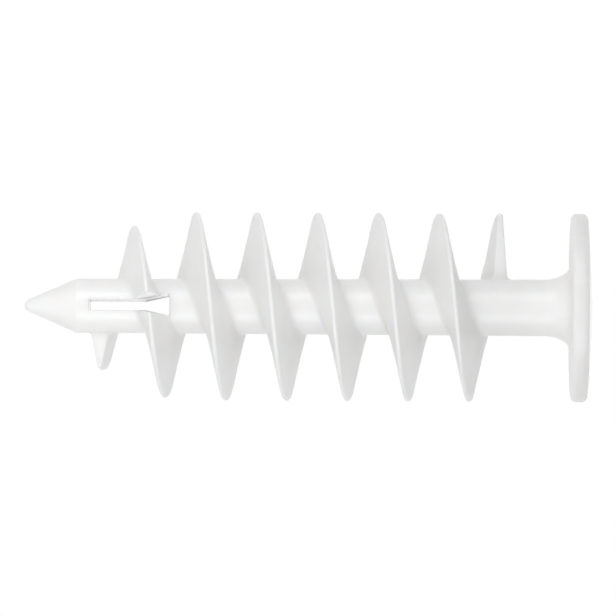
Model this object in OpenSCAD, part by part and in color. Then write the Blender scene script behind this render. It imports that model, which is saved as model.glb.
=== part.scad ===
// Screw-in plug for polystyrene wall insulation, moulded in one piece.
// It stands on the outer face of its head: +Z runs from the head to the point,
// and the origin is the middle of the head's outer face.

/* [Overall] */
// Length from the head's outer face to the end of the point
overall_len = 85; // [70:1:120]

/* [Head] */
// Diameter of the round head
head_d = 28.2; // [24:0.1:40]
// Thickness of the head at its rim
rim_h = 2.55; // [1.8:0.05:4]
// Height of the low crown on the outer face
crown_h = 0.65; // [0.3:0.05:1.2]
// Diameter of the flat land round the drive recess
land_d = 8; // [7:0.1:12]
// Radius on both edges of the rim
rim_r = 0.8; // [0.2:0.05:0.85]

/* [Shank] */
// Diameter of the shank where it leaves the head
shank_head_d = 8.5; // [8:0.05:10]
// Diameter of the shank at the shoulder of the point
shank_tip_d = 8.1; // [7.5:0.05:9.5]
// Length of the blend from the shank to the head, along the axis
neck_len = 4; // [1:0.1:6]
// Width of the same blend across the head
neck_w = 2.4; // [1:0.1:4]
// Length of the pointed end
point_len = 7.8; // [5:0.1:12]
// Radius of the blunt nose
nose_r = 0.95; // [0.4:0.05:1.5]

/* [Flight] */
// Outer diameter of the spiral flight
flight_d = 28.2; // [20:0.1:36]
// Rise of the flight in one turn
pitch = 9.1; // [8:0.1:12]
// Angle between each flank and a plane square to the axis
flank_angle = 10.5; // [6:0.5:12]
// Thickness of the flight at its rounded crest
crest_t = 0.7; // [0.5:0.02:1.2]
// Size of the blend between each flank and the shank
root_r = 0.5; // [0.2:0.05:0.8]
// Gap from the underside of the head to the middle of the flight's end
head_gap = 10.55; // [8:0.05:16]
// Gap from the shoulder of the point to the middle of the flight's start
point_gap = 3.5; // [2.5:0.05:10]
// Diameter of the flight where it starts, at the point
start_d = 18.8; // [14:0.1:20]
// Turns over which the flight grows to its full diameter
growth_turns = 1.25; // [0.75:0.05:2.5]
// Extra rise towards the point that the flight gains over those turns
start_lead = 0.35; // [0:0.05:1]
// Share of the flank thickness that is left at the head end
end_share = 0.4; // [0.2:0.05:1]
// Angle over which the flight thins to that share
end_angle = 75; // [30:5:180]

/* [Slot] */
// Distance from the end of the point to the slot
slot_from_nose = 9.75; // [8.5:0.05:14]
// Length of the slot
slot_len = 12.05; // [8:0.05:16]
// Width of the narrow part of the slot at the shank's surface
slot_w = 1.7; // [1:0.05:2.4]
// Width of the slot's flared end at the shank's surface
flare_w = 3.3; // [2.5:0.05:4.2]
// Length of the flare
flare_len = 3.6; // [1:0.1:6]
// Draft of the slot's walls, which widens the slot from the middle outwards
slot_draft = 3; // [0:0.5:4]

/* [Screw hole and drive] */
// Diameter of the hole that the screw cuts its thread in
bore_d = 3; // [2.4:0.1:3.8]
// Diameter of the drive recess over its six lobes
recess_d = 5.6; // [4.5:0.1:6.8]
// Diameter of the drive recess between its lobes
recess_inner_d = 3.95; // [3.8:0.05:4.4]
// Depth of the drive recess
recess_depth = 5; // [3:0.1:7]

/* [Hidden] */
// Facets to a circle, and flight sections to a turn
$fn = 96;
flight_steps = 48;
// Steps along a quarter of a curved edge
quarter_steps = 8;
// Steps along half of the flight's rounded crest
crest_steps = 2;
// How far a cutting shape runs past the surface that it cuts
past = 1;
// How far the flight's section reaches into the shank
root_depth = 0.6;
// Growth of the flight's diameter follows this power of the turns
growth_power = 1.4;
// Angle round the axis of the flight's end, from the +X axis
end_at = -6;
// Thickness of the slices that the slot's shape is drawn between
slice = 0.02;
// The drive recess has six lobes
lobes = 6;

under_z = crown_h + rim_h;
shoulder_z = overall_len - point_len;
flight_end_z = under_z + head_gap;
flight_start_z = shoulder_z - point_gap;
flight_angle = 360 * (flight_start_z - start_lead - flight_end_z) / pitch;
growth_angle = 360 * growth_turns;
slot_tip_z = overall_len - slot_from_nose;
slot_wide_z = slot_tip_z - slot_len;

function mix(a, b, t) = a + (b - a) * t;
function clear01(t) = min(max(t, 0), 1);
function ease(t) = t * t * (3 - 2 * t);

// Radius of the shank at a height
function shank_r(z) =
    mix(shank_head_d, shank_tip_d, (z - under_z) / (shoulder_z - under_z)) / 2;

// Quarter ellipse round a centre, from one angle to another
function quarter(cx, cz, rx, rz, from, to, steps) =
    [for (i = [0 : steps])
        let (a = mix(from, to, i / steps)) [cx + rx * cos(a), cz + rz * sin(a)]];

// Half-angle of the cone that meets both the shoulder and the round nose
function cone_angle(z_centre, r_shoulder) =
    let (rise = z_centre - shoulder_z, reach = norm([r_shoulder, rise]))
    atan2(r_shoulder, rise) - asin(nose_r / reach);

// Outline of head, neck, shank and point, on one side of the axis
function body_outline() =
    let (
        head_r = head_d / 2,
        neck_z = under_z + neck_len,
        nose_z = overall_len - nose_r,
        crown_angle = atan2(crown_h, head_r - rim_r - land_d / 2),
        a = cone_angle(nose_z, shank_r(shoulder_z))
    )
    concat(
        [[0, 0], [land_d / 2, 0]],
        quarter(head_r - rim_r, crown_h + rim_r, rim_r, rim_r, crown_angle - 90, 0, quarter_steps),
        quarter(head_r - rim_r, under_z - rim_r, rim_r, rim_r, 0, 90, quarter_steps),
        quarter(shank_r(neck_z) + neck_w, neck_z, neck_w, neck_len, 270, 180, quarter_steps),
        [[shank_r(shoulder_z), shoulder_z]],
        quarter(0, nose_z, nose_r, nose_r, a, 90, quarter_steps)
    );

// How far the flight has come from full size to its start, at an angle from its head end
function to_start(a) = clear01((a - flight_angle + growth_angle) / growth_angle);

// Outer radius of the flight at an angle measured from its head end
function flight_r(a) = mix(flight_d, start_d, pow(to_start(a), growth_power)) / 2;

// Height of the flight's middle at the same angle
function flight_z(a) = flight_end_z + pitch * a / 360 + start_lead * ease(to_start(a));

// Share of the flank thickness at an angle measured from the head end
function flight_share(a) = mix(end_share, 1, ease(clear01(a / end_angle)));

// Half section of the flight as [radius, half thickness], from root to crest
function half_section(a) =
    let (
        r_out = flight_r(a),
        r_root = shank_r(flight_z(a)),
        c = crest_t / 2,
        slope = tan(flank_angle) * flight_share(a),
        tangent = 90 - atan(slope),
        t_blend = c / sin(tangent) + (r_out - c - r_root - root_r) * slope,
        root_w = root_r + root_depth
    )
    concat(
        [[r_root - root_depth, t_blend + root_w], [r_root + root_r, t_blend]],
        quarter(r_out - c, 0, c, c, tangent, 0, crest_steps)
    );

// The whole section goes round the axis: tip side, crest, then head side
function section(a) =
    let (half = half_section(a), n = len(half), z = flight_z(a), at = end_at + a)
    [for (i = [0 : 2 * n - 2])
        let (p = i < n ? half[i] : half[2 * n - 2 - i], side = i < n ? 1 : -1)
        [p[0] * cos(at), p[0] * sin(at), z + side * p[1]]];

// A section's flat face, cut into convex strips between its two sides
function end_strips(n) =
    let (crest = (n - 1) / 2)
    concat(
        [for (j = [0 : crest - 2]) [j, j + 1, n - 2 - j, n - 1 - j]],
        [[crest - 1, crest, crest + 1]]
    );

module body() {
    rotate_extrude() polygon(body_outline());
}

module flight() {
    count = ceil(flight_steps * flight_angle / 360);
    rings = [for (i = [0 : count]) section(flight_angle * i / count)];
    n = len(rings[0]);
    points = [for (ring = rings) each ring];
    sides = [
        for (i = [0 : count - 1], j = [0 : n - 1])
            let (k = (j + 1) % n, a = i * n + j, b = i * n + k, c = a + n, d = b + n)
            each [[a, c, b], [b, c, d]]
    ];
    strips = end_strips(n);
    start_face = [for (strip = strips) [for (j = [len(strip) - 1 : -1 : 0]) count * n + strip[j]]];
    polyhedron(points, concat(sides, strips, start_face));
}

module screw_hole() {
    translate([0, 0, recess_depth - past])
        cylinder(d = bore_d, h = slot_wide_z + flare_len - recess_depth + past);
}

module drive_recess() {
    flute_r = (recess_d - recess_inner_d) * 0.7;
    translate([0, 0, -past])
        linear_extrude(recess_depth + past)
            difference() {
                circle(d = recess_d);
                for (i = [0 : lobes - 1])
                    rotate(360 / lobes * (i + 0.5))
                        translate([recess_inner_d / 2 + flute_r, 0])
                            circle(r = flute_r);
            }
}

// Slice of a straight-sided length of the slot, wider all round by the spread
module slot_slice(low, high, low_w, high_w, y, spread) {
    translate([0, y, 0])
        rotate([90, 0, 0])
            linear_extrude(slice, center = true)
                polygon([
                    [-low_w / 2 - spread, low],
                    [low_w / 2 + spread, low],
                    [high_w / 2 + spread, high],
                    [-high_w / 2 - spread, high]
                ]);
}

// The slot goes right through along Y and cuts the flight too
module slot() {
    reach = flight_d / 2 + past;
    inner = -shank_tip_d / 2 * tan(slot_draft);
    outer = (reach - shank_tip_d / 2) * tan(slot_draft);
    for (side = [-1, 1]) {
        hull() {
            slot_slice(slot_wide_z + flare_len, slot_tip_z + inner, slot_w, slot_w, 0, inner);
            slot_slice(slot_wide_z + flare_len, slot_tip_z + outer, slot_w, slot_w, side * reach, outer);
        }
        hull() {
            slot_slice(slot_wide_z - inner, slot_wide_z + flare_len, flare_w, slot_w, 0, inner);
            slot_slice(slot_wide_z - outer, slot_wide_z + flare_len, flare_w, slot_w, side * reach, outer);
        }
    }
}

module wall_plug() {
    color("whitesmoke")
        difference() {
            union() {
                body();
                flight();
            }
            screw_hole();
            drive_recess();
            slot();
        }
}

wall_plug();
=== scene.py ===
import math

import bmesh
import bpy
import numpy as np
from mathutils import Matrix, Vector


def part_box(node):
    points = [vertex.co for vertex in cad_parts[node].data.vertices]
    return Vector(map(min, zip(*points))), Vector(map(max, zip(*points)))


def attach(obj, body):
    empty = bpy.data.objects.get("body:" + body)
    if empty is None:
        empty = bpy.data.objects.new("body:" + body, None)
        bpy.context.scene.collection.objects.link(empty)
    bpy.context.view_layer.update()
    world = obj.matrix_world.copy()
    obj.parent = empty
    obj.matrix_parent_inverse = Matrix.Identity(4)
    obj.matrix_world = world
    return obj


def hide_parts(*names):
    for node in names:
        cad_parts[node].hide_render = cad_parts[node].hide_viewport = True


bl_info = {
    "name": "Insulation Plug",
    "version": (1, 0, 0),
    "blender": (4, 5, 0),
    "location": "3D View > Sidebar > Plug",
    "description": "Builds a moulded screw-in plug for foam insulation and a plain studio round it",
    "category": "Add Mesh",
}

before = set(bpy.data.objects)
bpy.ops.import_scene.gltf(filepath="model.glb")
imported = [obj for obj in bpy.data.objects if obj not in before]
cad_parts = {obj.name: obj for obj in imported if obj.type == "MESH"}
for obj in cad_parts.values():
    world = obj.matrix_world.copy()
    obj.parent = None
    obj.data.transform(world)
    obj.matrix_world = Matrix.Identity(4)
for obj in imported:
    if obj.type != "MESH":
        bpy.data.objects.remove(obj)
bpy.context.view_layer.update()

MM = 0.001
TURN = 2 * math.pi
NODE = "wall_plug"
PIECE = "moulded_plug"
# Points closer than this are welded into one, in metres
WELD = 1e-7
# Angles closer than this count as the same, in radians
SAME_ANGLE = 1e-7
# Edges are shaded sharp where their faces meet at more than this
SHARP = math.radians(38)
# Rows of faces on each side of the flight: over the crest, down the flank, round the blend at
# the root and along the bare shank
CREST_ROWS, FLANK_ROWS, ROOT_ROWS, BARE_ROWS = 4, 8, 5, 5
WHITE = (1, 1, 1, 1)
# How far the floor lies below the head, so that their faces don't touch
FLOOR_DROP = 0.02 * MM
# The plastic's refractive index, and the shares of the scatter depth for red, green and blue
REFRACTION = 1.5
SCATTER_SHARES = (1.0, 0.95, 0.9)
# Values of the noise between which one tone turns into the other, and smooth walls into dull
TONE_NOISE = (0.35, 0.65)
DULL_NOISE = (0.3, 0.7)
# Share of the seam's half width that has its full height
SEAM_TOP = 0.3
plug_low, plug_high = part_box(NODE)


def length(name, description, default):
    """A size in metres, shown in the scene's own unit of length."""
    return bpy.props.FloatProperty(
        name=name, description=description, default=default, min=0.0, precision=5, unit="LENGTH")


def angle(name, description, degrees):
    """An angle, held in radians and given here in degrees."""
    return bpy.props.FloatProperty(
        name=name, description=description, default=math.radians(degrees), subtype="ANGLE")


def number(name, description, default, **limits):
    """A plain number."""
    return bpy.props.FloatProperty(name=name, description=description, default=default, **limits)


def count(name, description, default):
    """A whole number of columns, rows or lobes."""
    return bpy.props.IntProperty(name=name, description=description, default=default, min=1)


def colour(name, description, default):
    """A colour, red, green and blue in linear light."""
    return bpy.props.FloatVectorProperty(
        name=name, description=description, default=default,
        size=3, min=0.0, max=1.0, subtype="COLOR")


class PlugBody(bpy.types.PropertyGroup):
    """Sizes of the head, neck, shank and point"""

    overall: length("Length", "From the head's outer face to the point's end", plug_high.z - plug_low.z)
    head: length("Head diameter", "Diameter of the head", plug_high.x - plug_low.x)
    rim: length("Rim thickness", "Thickness of the head at its rim", 2.55 * MM)
    crown: length("Low crown", "Height of the low crown on the outer face", 0.65 * MM)
    land: length("Flat land", "Diameter of the flat land round the drive recess", 8 * MM)
    rim_round: length("Rim radius", "Radius on both edges of the rim", 0.8 * MM)
    shank_low: length("Shank at head", "Diameter of the shank where it leaves the head", 8.5 * MM)
    shank_high: length("Shank at point", "Diameter of the shank at the point's shoulder", 8.1 * MM)
    neck_length: length("Neck length", "Length of the blend from shank to head", 4 * MM)
    neck_width: length("Neck width", "Width of the same blend across the head", 2.4 * MM)
    ring_gap: length("Ring gap", "From the neck to the ring where the flight's strip begins", 0.5 * MM)
    point: length("Point length", "Length of the pointed end", 7.8 * MM)
    nose: length("Nose radius", "Radius of the blunt nose", 0.95 * MM)
    shoulder_round: length("Shoulder radius", "Radius where shank turns into point", 0.5 * MM)
    columns: count("Columns", "Columns of faces in one turn", 120)


class PlugFlight(bpy.types.PropertyGroup):
    """Sizes of the spiral flight"""

    diameter: length("Diameter", "Outer diameter of the flight", 28.2 * MM)
    pitch: length("Pitch", "Rise of the flight in one turn", 9.1 * MM)
    flank: angle("Flank", "Angle between each flank and a plane square to the axis", 10.5)
    crest: length("Thickness", "Thickness of the flight at its rounded crest", 0.7 * MM)
    root: length("Root radius", "Radius of the blend between each flank and the shank", 0.8 * MM)
    head_gap: length("Head gap", "From the head's underside to the flight's end", 10.55 * MM)
    point_gap: length("Point gap", "From the shoulder to the flight's start", 3.5 * MM)
    start: length("Start diameter", "Diameter where the flight starts, at the point", 18.8 * MM)
    growth: number("Growth", "Turns over which the flight grows to its full diameter", 1.25)
    growth_power: number("Growth power", "The diameter grows with this power of the turns", 1.4)
    lead: length("Start lead", "Extra rise that the flight gains as it narrows", 0.35 * MM)
    end_share: number("End share", "Share of the flank's slope that is left at the head end", 0.4)
    end_turn: angle("End turn", "Angle over which the flank thins to that share", 75)
    end_at: angle("End at", "Angle of the flight's head end round the axis, from +X", -6)
    edge: length("End edge", "Radius on the edge of both end faces", 0.18 * MM)


class PlugSlot(bpy.types.PropertyGroup):
    """Sizes of the slot that lets the tip spread"""

    from_nose: length("From nose", "From the end of the point to the slot", 9.75 * MM)
    long: length("Length", "Length of the slot", 12.05 * MM)
    narrow: length("Width", "Width of the narrow part", 1.7 * MM)
    wide: length("Flare width", "Width of the flared end", 3.3 * MM)
    flare: length("Flare length", "Length of the flare", 3.6 * MM)
    draft: angle("Draft", "Draft of the walls, which widens the slot from the middle outwards", 3)
    edge: length("Edge", "Radius on the slot's edges", 0.14 * MM)


class PlugDrive(bpy.types.PropertyGroup):
    """Sizes of the screw hole and the six-lobe drive recess"""

    hole: length("Hole diameter", "Diameter of the screw hole", 3 * MM)
    hole_end: length("Hole end", "Height at which the screw hole ends", 66.8 * MM)
    outer: length("Over lobes", "Diameter of the recess over its lobes", 5.6 * MM)
    inner: length("Between lobes", "Diameter of the recess between its lobes", 3.95 * MM)
    depth: length("Depth", "Depth of the recess", 5 * MM)
    edge: length("Mouth radius", "Radius on the mouth of the recess", 0.3 * MM)
    lobes: count("Lobes", "Number of lobes", 6)


class PlugPlastic(bpy.types.PropertyGroup):
    """The look of the moulded plastic"""

    base: colour("Colour", "Colour of the plastic", (0.93, 0.93, 0.925))
    patch: colour("Patches", "Colour of the slightly denser patches", (0.91, 0.91, 0.905))
    patch_size: length("Patch size", "Size of the patches", 3.5 * MM)
    smooth: number("Smooth", "Roughness where the moulding is smoothest", 0.285, min=0, max=1)
    dull: number("Dull", "Roughness where the moulding is dullest", 0.35, min=0, max=1)
    polish: number("Polish", "Roughness of the slot's walls where smoothest", 0.05, min=0, max=1)
    polish_dull: number("Dull polish", "Roughness of those walls where dullest", 0.075, min=0, max=1)
    through: number("Translucency", "Share of the light that scatters inside", 0.85, min=0, max=1)
    through_depth: length("Scatter depth", "How far light travels inside the plastic", 2.2 * MM)
    grain: length("Grain size", "Size of the fine grain left by the mould", 0.35 * MM)
    grain_height: length("Grain height", "Height of the fine grain", 0.006 * MM)
    swell: length("Swell size", "Size of the shallow unevenness of the walls", 4 * MM)
    swell_height: length("Swell height", "Height of the shallow unevenness", 0.05 * MM)
    seam: length("Seam width", "Half width of the faint line where the mould halves met", 0.12 * MM)
    seam_height: length("Seam height", "Height of that line", 0.03 * MM)


class PlugStudio(bpy.types.PropertyGroup):
    """The camera, the floor and the light"""

    across: length("Frame width", "Width of the picture at the plug", 92.27 * MM)
    distance: length("Distance", "From the camera to the plug's axis", 1.6)
    turn: angle("Turn", "Turn of the camera round the axis", 3)
    roll: angle("Roll", "Roll of the camera", 0.28)
    aim_right: length("Aim right", "How far the plug is right of the picture's middle", 0.037 * MM)
    aim_up: length("Aim up", "How far the plug is above the picture's middle", 0.172 * MM)
    floor: length("Floor width", "Width of the floor", 4.0)
    glow: number("Glow", "Strength of the light from the floor under the head", 0.8, min=0)
    front: number("Front glow", "Strength of the light from the floor in front", 0.14, min=0)
    pale: number("Floor grey", "Grey of the floor as it lights the plug", 0.85, min=0, max=1)
    # Within this width the floor lights the plug with painted shade, dark grey near the head
    middle: length("Middle width", "From the plug's axis to where the floor has its grey", 0.03)
    shadow: length("Shadow width", "From the plug's axis to where the floor looks plain white", 0.12)
    ambient: number("Ambient", "Strength of the soft light from all sides", 0.55, min=0)
    facing: number("Facing", "Strength of further soft light from the camera's side", 0.33, min=0)
    side: number("Side lamps", "Power of each lamp beside the camera, in watts", 1.44, min=0)
    side_turn: angle("Side turn", "Angle between each side lamp and the camera", 46)
    lamp: length("Lamp size", "Width of the square lamps", 0.35)
    lamp_distance: length("Lamp distance", "From the lamps to the plug", 0.7)


def arc(centre, radii, start, end, steps):
    """Points of an ellipse's arc: its centre plus its radii times cosine and sine.

    The angles are in degrees, and even."""
    a = np.radians(np.linspace(start, end, steps + 1))
    return np.stack([centre[0] + radii[0] * np.cos(a), centre[1] + radii[1] * np.sin(a)], axis=1)


def straight(a, b, steps):
    """Even points on the line from a to b, without its ends."""
    t = np.linspace(0, 1, steps + 1)[1:-1, None]
    return np.array(a) * (1 - t) + np.array(b) * t


def lobed(points, lobe=0.0):
    """Profile points of radius and height, with the lobe of each as a third value."""
    points = np.asarray(points, float).reshape(-1, 2)
    return np.column_stack([points, np.broadcast_to(lobe, len(points))])


def ease(t):
    """Smooth step from 0 to 1: three t squared less two t cubed."""
    t = np.clip(t, 0, 1)
    return t * t * (3 - 2 * t)


def around(radius, z, angles):
    """Points round the axis: the radius times the angle's cosine and sine, and the height."""
    radius, z, angles = np.broadcast_arrays(radius, z, angles)
    return np.stack([radius * np.cos(angles), radius * np.sin(angles), z], axis=-1)


def turned(profile, angles, lobes=1):
    """A profile carried round the axis.

    Each row holds a radius, a height and a lobe. At an angle, the radius is the row's radius plus
    its lobe times the cosine of the angle times the number of lobes."""
    radius = profile[:, 0, None] + profile[:, 2, None] * np.cos(lobes * angles)
    return around(radius, profile[:, 1, None], angles)


def under_height(body):
    """Height of the head's underside."""
    return body.crown + body.rim


def shoulder_height(body):
    """Height of the shoulder, where the point begins."""
    return body.overall - body.point


def shank_radius(z, body):
    """Radius of the shank at a height: an even taper from the head's underside to the shoulder."""
    t = (z - under_height(body)) / (shoulder_height(body) - under_height(body))
    return (body.shank_low + (body.shank_high - body.shank_low) * t) / 2


def low_ring(body):
    """Height of the level ring just above the neck, where the strip with the flight begins."""
    return under_height(body) + body.neck_length + body.ring_gap


def hole_profile(body, drive):
    """Rows from the blind end of the screw hole, down its wall and out through the lobed recess.

    The lobes are a little shallower in the recess's corner, and fade out over the land."""
    r_hole, e = drive.hole / 2, drive.edge
    r_mid, lobe = (drive.outer + drive.inner) / 4, (drive.outer - drive.inner) / 4
    seat = e / 2
    end = arc((r_hole - seat, drive.hole_end - seat), (seat, seat), 90, 0, steps=3)
    wall = straight((r_hole, drive.hole_end - seat), (r_hole, drive.depth + seat), steps=12)
    step = arc((r_hole + seat, drive.depth + seat), (seat, seat), 180, 260, steps=3)
    corner = arc((r_mid - e, drive.depth - e), (e, e), 90, 0, steps=4)
    side = straight(corner[-1], (r_mid, e), steps=7)
    lip = arc((r_mid + e, e), (e, e), 180, 270, steps=5)
    land = straight(lip[-1], (body.land / 2, 0), steps=4)
    in_corner = lobe * np.linspace(0.85, 1, len(corner))
    on_land = lobe * np.linspace(0.6, 0.1, len(land))
    return np.concatenate([
        lobed([(0, drive.hole_end)]), lobed(end), lobed(wall), lobed(step),
        lobed(corner, in_corner), lobed(side, lobe), lobed(lip, lobe), lobed(land, on_land),
    ])


def head_profile(body):
    """Rows over the land, the crown, the rim, the underside and the neck, up to the low ring."""
    r_head, r = body.head / 2, body.rim_round
    slope = math.degrees(math.atan2(body.crown, r_head - r - body.land / 2))
    land = np.array([[body.land / 2, 0]])
    low_rim = arc((r_head - r, body.crown + r), (r, r), slope - 90, 0, steps=8)
    high_rim = arc((r_head - r, under_height(body) - r), (r, r), 0, 90, steps=8)
    neck_z = under_height(body) + body.neck_length
    neck_r = shank_radius(neck_z, body) + body.neck_width
    neck = arc((neck_r, neck_z), (body.neck_width, body.neck_length), 270, 180, steps=12)
    crown = straight(land[0], low_rim[0], steps=9)
    edge = straight(low_rim[-1], high_rim[0], steps=3)
    underside = straight(high_rim[-1], neck[0], steps=7)
    ring = [[shank_radius(low_ring(body), body), low_ring(body)]]
    return lobed(np.concatenate([land, crown, low_rim, edge, high_rim, underside, neck, ring]))


def tip_profile(body, ring_z):
    """Rows from a ring on the shank over the rounded shoulder and the cone to the blunt nose."""
    shoulder_z, nose_z = shoulder_height(body), body.overall - body.nose
    r_top, r = shank_radius(shoulder_z, body), body.shoulder_round
    reach = math.hypot(r_top, nose_z - shoulder_z)
    cone = math.atan2(r_top, nose_z - shoulder_z) - math.asin(body.nose / reach)
    centre = (r_top - r, shoulder_z - r * math.tan(cone / 2))
    shoulder = arc(centre, (r, r), 0, math.degrees(cone), steps=5)
    nose = arc((0, nose_z), (body.nose, body.nose), math.degrees(cone), 90, steps=10)
    nose[-1, 0] = 0
    flank = straight(shoulder[-1], nose[0], steps=12)
    ring = [[shank_radius(ring_z, body), ring_z]]
    return lobed(np.concatenate([ring, shoulder, flank, nose]))


def flight_height(a, body, flight):
    """Height of the flight's middle at an angle from its head end, without the start's extra rise.

    It goes up evenly, by one pitch a turn."""
    return under_height(body) + flight.head_gap + flight.pitch * a / TURN


def end_radius(flight):
    """Radius at which the rounded edges of the flight's end faces are measured."""
    return flight.diameter / 3


def flight_angle(body, flight):
    """Whole angle that the flight turns through."""
    rise = shoulder_height(body) - flight.point_gap - flight.lead - flight_height(0.0, body, flight)
    return TURN * rise / flight.pitch


def flight_columns(total, body, flight):
    """Angles of the columns of one turn, from the flight's head end.

    They are even, with more near both end faces. The angle of an end face comes twice: the bare
    shank stops at the first and the flight starts at the second, or the other way round."""
    last = total % TURN
    near = flight.edge / end_radius(flight) * (1 - np.cos(np.radians([0, 30, 60, 90])))
    even = np.arange(body.columns) * TURN / body.columns
    even = even[(even > near[-1]) & (np.abs(even - last) > near[-1])]
    return np.sort(np.concatenate([[0.0, last], near, last - near, even]))


def flight_section(a, total, body, flight):
    """Height above the shank, and offset along the axis, of the flight's section at angles a.

    From its middle outwards the section is an arc over the crest, a straight flank tangent to it,
    an arc tangent to the flank and the shank, and the bare shank. The head's side comes first.
    Toward the point the outer diameter narrows, and the section moves ahead by the extra rise.
    Toward the head end the flanks draw together. Next to both end faces the section shrinks along
    a quarter circle, which rounds their edges."""
    to_start = np.clip((a - total) / (TURN * flight.growth) + 1, 0, 1)
    narrower = (flight.start - flight.diameter) * to_start ** flight.growth_power
    r_out = (flight.diameter + narrower) / 2
    ahead = flight.lead * ease(to_start)
    share = flight.end_share + (1 - flight.end_share) * ease(a / flight.end_turn)
    phi = np.arctan(math.tan(flight.flank) * share)
    run = np.clip(np.minimum(a, total - a) * end_radius(flight), 0, flight.edge)
    inset = flight.edge - np.sqrt(flight.edge ** 2 - (flight.edge - run) ** 2)
    crest = flight.crest / 2 - inset
    centre = r_out - flight.crest / 2 - shank_radius(flight_height(a, body, flight), body)
    root_at = (crest + flight.root + (centre - flight.root) * np.sin(phi)) / np.cos(phi)

    over = np.linspace(0, 1, CREST_ROWS + 1)[:, None] * (math.pi / 2 - phi)
    top = np.stack([centre + crest * np.cos(over), crest * np.sin(over)])
    bend = phi + np.linspace(0, 1, ROOT_ROWS + 1)[:, None] * (math.pi / 2 - phi)
    foot = np.stack([flight.root * (1 - np.sin(bend)), root_at - flight.root * np.cos(bend)])
    t = np.linspace(0, 1, FLANK_ROWS + 1)[1:-1, None]
    flank = top[:, -1:] * (1 - t) + foot[:, :1] * t
    half = np.concatenate([top, flank, foot], axis=1)

    head_side = flight_height(0.0, body, flight) - low_ring(body)
    t = np.linspace(0, 1, BARE_ROWS + 1)[1:, None]
    sides = []
    for reach in (head_side + ahead, flight.pitch - head_side - ahead):
        bare = half[1, -1:] * (1 - t) + reach * t
        sides.append(np.concatenate([half, np.stack([0 * bare, bare])], axis=1))
    low, high = sides
    height = np.concatenate([low[0, ::-1], high[0, 1:]])
    offset = np.concatenate([-low[1, ::-1], high[1, 1:]])
    return height, offset + ahead


def shank_grids(body, flight):
    """The shank between two level rings, with the flight on it, as grids of points.

    The first grid is one pitch wide and follows the flight through its whole angle. Its first and
    last columns are bare shank, so each end face is flat. A wedge below it and one above it, each
    one turn long, have the same rows squeezed evenly to nothing, and close it to the level rings."""
    total = flight_angle(body, flight)
    one = flight_columns(total, body, flight)
    a = (one + TURN * np.arange(int(total // TURN) + 1)[:, None]).ravel()
    a = a[a <= total + SAME_ANGLE]
    h, o = flight_section(a, total, body, flight)
    h[:, [0, -1]] = 0
    z = flight_height(a, body, flight) + o
    rise = np.append(one, TURN) / TURN
    z_low = z[0, 0] + (z[:, :1] - z[0, 0]) * rise
    last = a[a >= total - TURN - SAME_ANGLE]
    z_high = z[-1, -1] + (z[:, -1:] - z[-1, -1]) * (total - last) / TURN
    grids = [
        around(shank_radius(z, body) + h, z, a + flight.end_at),
        around(shank_radius(z_low, body), z_low, rise * TURN + flight.end_at),
        around(shank_radius(z_high, body), z_high, last + flight.end_at),
    ]
    return grids, np.append(one, TURN) + flight.end_at, z[-1, -1]


def slot_grid(body, slot, reach):
    """The slot's cutting shape: its outline in the XZ plane carried along Y.

    Where it leaves the shank the outline grows outwards along most of a quarter circle, so the edge
    is round. The draft makes it wider from the middle outwards. The outline's points move along the
    mitre of their two edges."""
    z_tip = body.overall - slot.from_nose
    z_wide, z_flare = z_tip - slot.long, z_tip - slot.long + slot.flare
    narrow, wide = slot.narrow / 2, slot.wide / 2
    side = [(wide, z_wide), (narrow, z_flare), (narrow, z_tip)]
    corners = side + [(-x, z) for x, z in reversed(side)]
    edge_steps = (6, 12, 6, 12, 6, 10)
    parts = []
    for start, end, steps in zip(corners, corners[1:] + corners[:1], edge_steps):
        parts += [[start], straight(start, end, steps)]
    outline = np.concatenate(parts)
    along = np.roll(outline, -1, axis=0) - outline
    along /= np.linalg.norm(along, axis=1, keepdims=True)
    out = np.stack([along[:, 1], -along[:, 0]], axis=1)
    before = np.roll(out, 1, axis=0)
    mitre = (out + before) / (1 + np.sum(out * before, axis=1, keepdims=True))
    outline, mitre = (np.concatenate([v, v[:1]]) for v in (outline, mitre))

    surface = np.sqrt(shank_radius(outline[:, 1], body) ** 2 - outline[:, 0] ** 2)
    bend = np.radians([78, 60, 40, 20, 0])
    grow = slot.edge * (1 - np.cos(bend))
    depth = slot.edge * (1 - np.sin(bend))
    half = np.stack([np.full(len(outline), reach), *(surface - d for d in depth)])
    y = np.concatenate([half, 0 * half[:1], -half[::-1]])
    grow = np.concatenate([grow[:1], grow, [0], grow[::-1], grow[:1]])[:, None]
    grow = grow + (np.abs(y) - body.shank_high / 2) * math.tan(slot.draft)
    xz = outline + mitre * grow[..., None]
    grid = np.stack([xz[..., 0], y, xz[..., 1]], axis=-1)
    pole = np.array([0, reach, z_flare])
    first = np.broadcast_to(pole, grid[:1].shape)
    return np.concatenate([first, grid, first * (1, -1, 1)])


def mesh_from_grids(name, grids):
    """A mesh of quads from grids of points.

    Points that meet are welded, so seams and poles close."""
    corners, start = [], 0
    for grid in grids:
        rows, columns = grid.shape[:2]
        i = start + np.arange(rows * columns).reshape(rows, columns)
        quads = np.stack([i[:-1, :-1], i[:-1, 1:], i[1:, 1:], i[1:, :-1]], axis=-1)
        corners.append(quads.reshape(-1, 4))
        start += rows * columns
    points = np.concatenate([grid.reshape(-1, 3) for grid in grids])
    corners = np.concatenate(corners)
    mesh = bpy.data.meshes.new(name)
    mesh.vertices.add(len(points))
    mesh.vertices.foreach_set("co", points.ravel())
    mesh.loops.add(corners.size)
    mesh.loops.foreach_set("vertex_index", corners.ravel())
    mesh.polygons.add(len(corners))
    mesh.polygons.foreach_set("loop_start", np.arange(len(corners)) * 4)
    mesh.update(calc_edges=True)
    welded = bmesh.new()
    welded.from_mesh(mesh)
    bmesh.ops.remove_doubles(welded, verts=welded.verts, dist=WELD)
    welded.to_mesh(mesh)
    welded.free()
    return mesh


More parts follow.
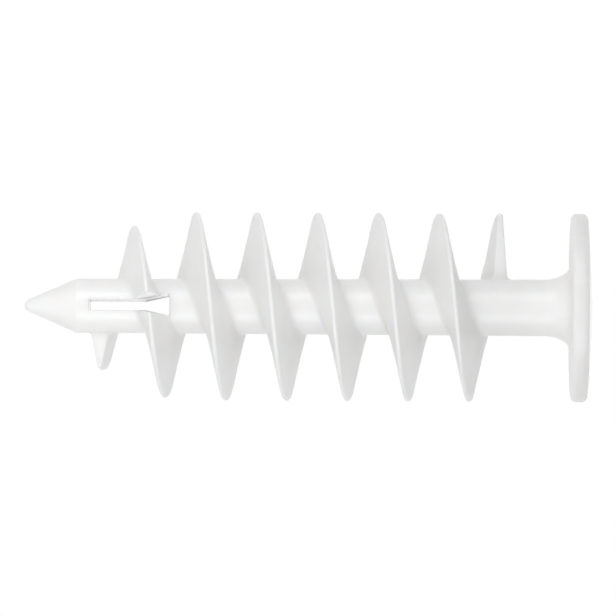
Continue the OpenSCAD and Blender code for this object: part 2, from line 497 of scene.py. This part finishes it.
def add_object(name, mesh):
    """A new object at the origin, in the scene."""
    made = bpy.data.objects.new(name, mesh)
    bpy.context.scene.collection.objects.link(made)
    return made


def finished(thing):
    """Puts what the object's modifiers make into its mesh and takes them off."""
    made = thing.evaluated_get(bpy.context.evaluated_depsgraph_get())
    mesh = bpy.data.meshes.new_from_object(made)
    thing.modifiers.clear()
    thing.data = mesh


def cut_slot(plug, body, flight, slot, wall):
    """Cuts the slot through the plug, and leaves the material of the slot's walls on them."""
    mesh = mesh_from_grids("slot_cutter", [slot_grid(body, slot, flight.diameter)])
    mesh.materials.append(wall)
    cutter = add_object("slot_cutter", mesh)
    cut = plug.modifiers.new("slot", "BOOLEAN")
    cut.operation, cut.solver, cut.object = "DIFFERENCE", "MANIFOLD", cutter
    cut.material_mode = "TRANSFER"
    finished(plug)
    bpy.data.objects.remove(cutter)


def shade(plug):
    """Smooth shading, with sharp edges where faces meet at an angle, and flat faces kept flat."""
    plug.data.shade_smooth()
    plug.data.set_sharp_from_angle(angle=SHARP)
    flat = plug.modifiers.new("flat_faces", "WEIGHTED_NORMAL")
    flat.keep_sharp = True
    finished(plug)


class Nodes:
    """A material's or world's node tree, with a short way to add nodes."""

    def __init__(self, owner):
        owner.use_nodes = True
        self.tree = owner.node_tree
        self.tree.nodes.clear()

    def add(self, kind, inputs=None, **settings):
        """A node with its settings. An input is a value, or another node's output to link."""
        node = self.tree.nodes.new(kind)
        for name, value in settings.items():
            setattr(node, name, value)
        for name, value in (inputs or {}).items():
            if isinstance(value, bpy.types.NodeSocket):
                self.tree.links.new(value, node.inputs[name])
            else:
                node.inputs[name].default_value = value
        return node

    def math(self, operation, a, b=0.0):
        """A sum on one or two values."""
        return self.add("ShaderNodeMath", {0: a, 1: b}, operation=operation).outputs[0]

    def scale(self, value, low, high, to_low, to_high):
        """A value moved smoothly from one range to another."""
        inputs = {
            "Value": value, "From Min": low, "From Max": high, "To Min": to_low, "To Max": to_high,
        }
        node = self.add("ShaderNodeMapRange", inputs, interpolation_type="SMOOTHSTEP")
        return node.outputs["Result"]

    def noise(self, where, size, detail):
        """Noise whose patches have about the given size."""
        inputs = {"Vector": where, "Scale": 1 / size, "Detail": detail}
        return self.add("ShaderNodeTexNoise", inputs).outputs[0]

    def glowing(self, grey, strength):
        """A plain grey surface that also gives off white light."""
        plain = self.add("ShaderNodeBsdfDiffuse", {"Color": grey}).outputs[0]
        light = self.add("ShaderNodeEmission", {"Color": WHITE, "Strength": strength}).outputs[0]
        return self.add("ShaderNodeAddShader", {0: plain, 1: light}).outputs[0]

    def bump(self, height, distance, under=None):
        """A bump of a given height, over another one if there is one."""
        inputs = {"Height": height, "Distance": distance, "Strength": 1.0}
        if under is not None:
            inputs["Normal"] = under
        return self.add("ShaderNodeBump", inputs).outputs["Normal"]


def plastic_material(name, body, look, smooth, dull):
    """White plastic straight from the mould: satin, a little translucent, faintly uneven."""
    material = bpy.data.materials.new(name)
    nodes = Nodes(material)
    where = nodes.add("ShaderNodeTexCoord").outputs["Object"]
    patches = nodes.scale(nodes.noise(where, look.patch_size, detail=3.0), *TONE_NOISE, 0.0, 1.0)
    colours = {0: patches, 6: (*look.base, 1), 7: (*look.patch, 1)}
    tone = nodes.add("ShaderNodeMix", colours, data_type="RGBA")
    grain = nodes.noise(where, look.grain, detail=4.0)
    rough = nodes.scale(nodes.noise(where, look.swell, detail=3.0), *DULL_NOISE, smooth, dull)
    place = nodes.add("ShaderNodeSeparateXYZ", {0: where}).outputs
    beside = nodes.math("ABSOLUTE", place["Y"])
    seam = nodes.scale(beside, SEAM_TOP * look.seam, look.seam, 1.0, 0.0)
    above = nodes.scale(place["Z"], body.crown, body.crown + body.rim / 2, 0.0, 1.0)
    relief = nodes.bump(nodes.noise(where, look.swell, detail=1.0), look.swell_height)
    relief = nodes.bump(grain, look.grain_height, relief)
    relief = nodes.bump(nodes.math("MULTIPLY", seam, above), look.seam_height, relief)
    shader = nodes.add("ShaderNodeBsdfPrincipled", {
        "Base Color": tone.outputs[2], "Roughness": rough, "Normal": relief,
        "Subsurface Weight": look.through, "Subsurface Radius": SCATTER_SHARES,
        "Subsurface Scale": look.through_depth, "IOR": REFRACTION,
    })
    nodes.add("ShaderNodeOutputMaterial", {"Surface": shader.outputs[0]})
    return material


def seen_directly(nodes):
    """1 for a ray from the camera, a reflection or a see-through surface, and 0 for the rest."""
    path = nodes.add("ShaderNodeLightPath").outputs
    seen = nodes.math("MAXIMUM", path["Is Camera Ray"], path["Is Glossy Ray"])
    return nodes.math("MAXIMUM", seen, path["Is Transmission Ray"])


def floor_material(studio):
    """Pale floor that looks plain white, but for the plug's shadow near the plug.

    It lights the plug like a pale card that is dark grey under the head, a painted shade that
    darkens the head's rim and the flanks near it. It gives off light there, out to two thirds of the
    middle width, and in front, where the light is full beyond the shadow width. It is see-through
    from below, so that the head's outer face shows."""
    # Painted shade: the floor's grey near the head, as it lights the plug
    painted_shade_grey = 0.1
    shadow_light, shadow_grey = 0.7, 0.5
    material = bpy.data.materials.new("pale_floor")
    nodes = Nodes(material)
    where = nodes.add("ShaderNodeTexCoord").outputs["Object"]
    away = nodes.add("ShaderNodeVectorMath", {0: where}, operation="LENGTH").outputs["Value"]
    ahead = nodes.add("ShaderNodeSeparateXYZ", {0: where}).outputs["Y"]
    spot = nodes.scale(away, studio.middle / 3, studio.middle * 2 / 3, studio.glow, 0.0)
    front = nodes.scale(ahead, -studio.shadow, -studio.middle / 2, studio.front, 0.0)
    glow = nodes.math("ADD", spot, front)
    # Painted shade near the head, turning to the pale grey further out
    pale = nodes.scale(away, studio.middle / 2, studio.middle, painted_shade_grey, studio.pale)
    plain = nodes.scale(away, studio.shadow / 4, studio.shadow, shadow_light, 1.0)
    shaded = nodes.scale(away, studio.shadow / 4, studio.shadow, shadow_grey, 0.0)
    card, seen = nodes.glowing(pale, glow), nodes.glowing(shaded, plain)
    above = nodes.add("ShaderNodeMixShader", {0: seen_directly(nodes), 1: card, 2: seen}).outputs[0]
    clear = nodes.add("ShaderNodeBsdfTransparent").outputs[0]
    below = nodes.add("ShaderNodeNewGeometry").outputs["Backfacing"]
    both = nodes.add("ShaderNodeMixShader", {0: below, 1: above, 2: clear}).outputs[0]
    nodes.add("ShaderNodeOutputMaterial", {"Surface": both})
    return material


def make_world(studio):
    """Soft light from all sides and more from the camera's side, and plain white to look at.

    A direction's Y is -1 toward the camera. The further light is full up to one Y and gone from
    another."""
    full_y, gone_y = -0.9, 0.2
    world = bpy.data.worlds.new("studio")
    nodes = Nodes(world)
    way = nodes.add("ShaderNodeTexCoord").outputs["Generated"]
    ahead = nodes.add("ShaderNodeSeparateXYZ", {0: way}).outputs["Y"]
    further = nodes.scale(ahead, full_y, gone_y, studio.facing, 0.0)
    strength = nodes.math("ADD", further, studio.ambient)
    light = nodes.add("ShaderNodeBackground", {"Color": WHITE, "Strength": strength}).outputs[0]
    plain = nodes.add("ShaderNodeBackground", {"Color": WHITE, "Strength": 1.0}).outputs[0]
    sides = {0: seen_directly(nodes), 1: light, 2: plain}
    mixed = nodes.add("ShaderNodeMixShader", sides).outputs[0]
    nodes.add("ShaderNodeOutputWorld", {"Surface": mixed})
    bpy.context.scene.world = world


def facing(place, target, up):
    """Matrix of a camera or lamp that stands at one point and looks at another."""
    back = (place - target).normalized()
    side = up.cross(back).normalized()
    turn = Matrix((side, back.cross(side), back)).transposed().to_4x4()
    return Matrix.Translation(place) @ turn


def make_camera(studio, toward, up, middle):
    """The photograph's view from the side, far enough away for the plug to look nearly flat."""
    data = bpy.data.cameras.new("camera")
    data.lens = data.sensor_width * studio.distance / studio.across
    camera = add_object("camera", data)
    right = up.cross(toward)
    tilt = Matrix.Rotation(studio.roll, 3, toward)
    up, right = tilt @ up, tilt @ right
    aim = middle - right * studio.aim_right - up * studio.aim_up
    camera.matrix_world = facing(aim + toward * studio.distance, aim, up)
    bpy.context.scene.camera = camera


def make_lamp(name, power, studio, direction, middle):
    """A square soft lamp that faces the plug's middle from a direction."""
    data = bpy.data.lights.new(name, "AREA")
    data.shape, data.size, data.energy = "SQUARE", studio.lamp, power
    lamp = add_object(name, data)
    place = middle + direction.normalized() * studio.lamp_distance
    lamp.matrix_world = facing(place, middle, Vector((0, 0, 1)))


class PLUG_OT_make_plug(bpy.types.Operator):
    """Build the moulded plug from the sizes in the Plug panel"""

    bl_idname = "plug.make_plug"
    bl_label = "Make Plug"

    def execute(self, context):
        scene = context.scene
        body, flight, drive = scene.plug_body, scene.plug_flight, scene.plug_drive
        shank, angles, ring = shank_grids(body, flight)
        head = np.concatenate([hole_profile(body, drive), head_profile(body)])
        low = turned(head, angles, drive.lobes)
        high = turned(tip_profile(body, ring), angles)
        plug = add_object(PIECE, mesh_from_grids(PIECE, [low, *shank, high]))
        look = scene.plug_plastic
        moulded = plastic_material("moulded_white", body, look, look.smooth, look.dull)
        polished = plastic_material("polished_white", body, look, look.polish, look.polish_dull)
        plug.data.materials.append(moulded)
        cut_slot(plug, body, flight, scene.plug_slot, polished)
        if not plug.data.polygons:
            raise RuntimeError("the slot's cut left no plug")
        shade(plug)
        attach(plug, "root")
        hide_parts(NODE)
        return {"FINISHED"}


class PLUG_OT_make_studio(bpy.types.Operator):
    """Build the floor, the light and the camera"""

    bl_idname = "plug.make_studio"
    bl_label = "Make Studio"

    def execute(self, context):
        studio = context.scene.plug_studio
        middle = Vector((0, 0, context.scene.plug_body.overall / 2))
        toward = Vector((-math.sin(studio.turn), -math.cos(studio.turn), 0))
        up = Vector((math.cos(studio.turn), -math.sin(studio.turn), 0))
        edges = [-studio.floor / 2, studio.floor / 2]
        x, y = np.meshgrid(edges, edges)
        corners = np.stack([x, y, np.full_like(x, -FLOOR_DROP)], axis=-1)
        floor = add_object("floor", mesh_from_grids("floor", [corners]))
        floor.data.materials.append(floor_material(studio))
        make_world(studio)
        make_camera(studio, toward, up, middle)
        for name, side in (("lamp_up", 1), ("lamp_down", -1)):
            direction = toward * math.cos(studio.side_turn) + up * side * math.sin(studio.side_turn)
            make_lamp(name, studio.side, studio, direction, middle)
        context.scene.view_settings.view_transform = "Standard"
        return {"FINISHED"}


GROUPS = {
    "plug_body": PlugBody, "plug_flight": PlugFlight, "plug_slot": PlugSlot,
    "plug_drive": PlugDrive, "plug_plastic": PlugPlastic, "plug_studio": PlugStudio,
}


class VIEW3D_PT_plug(bpy.types.Panel):
    """The plug's sizes and finishes, and the buttons that build it"""

    bl_label = "Insulation Plug"
    bl_space_type = "VIEW_3D"
    bl_region_type = "UI"
    bl_category = "Plug"

    def draw(self, context):
        for group, kind in GROUPS.items():
            box = self.layout.box()
            box.label(text=kind.__name__.removeprefix("Plug"))
            for name in kind.__annotations__:
                box.prop(getattr(context.scene, group), name)
        self.layout.operator(PLUG_OT_make_plug.bl_idname)
        self.layout.operator(PLUG_OT_make_studio.bl_idname)


CLASSES = (*GROUPS.values(), PLUG_OT_make_plug, PLUG_OT_make_studio, VIEW3D_PT_plug)


def register():
    """Registers the classes, and gives the scene its groups of sizes and finishes."""
    for cls in CLASSES:
        bpy.utils.register_class(cls)
    for group, kind in GROUPS.items():
        setattr(bpy.types.Scene, group, bpy.props.PointerProperty(type=kind))


def unregister():
    """Takes back what register did, in reverse."""
    for group in GROUPS:
        delattr(bpy.types.Scene, group)
    for cls in reversed(CLASSES):
        bpy.utils.unregister_class(cls)


def main():
    """Builds the plug and the studio."""
    register()
    bpy.ops.plug.make_plug()
    bpy.ops.plug.make_studio()


if __name__ == "__main__":
    main()
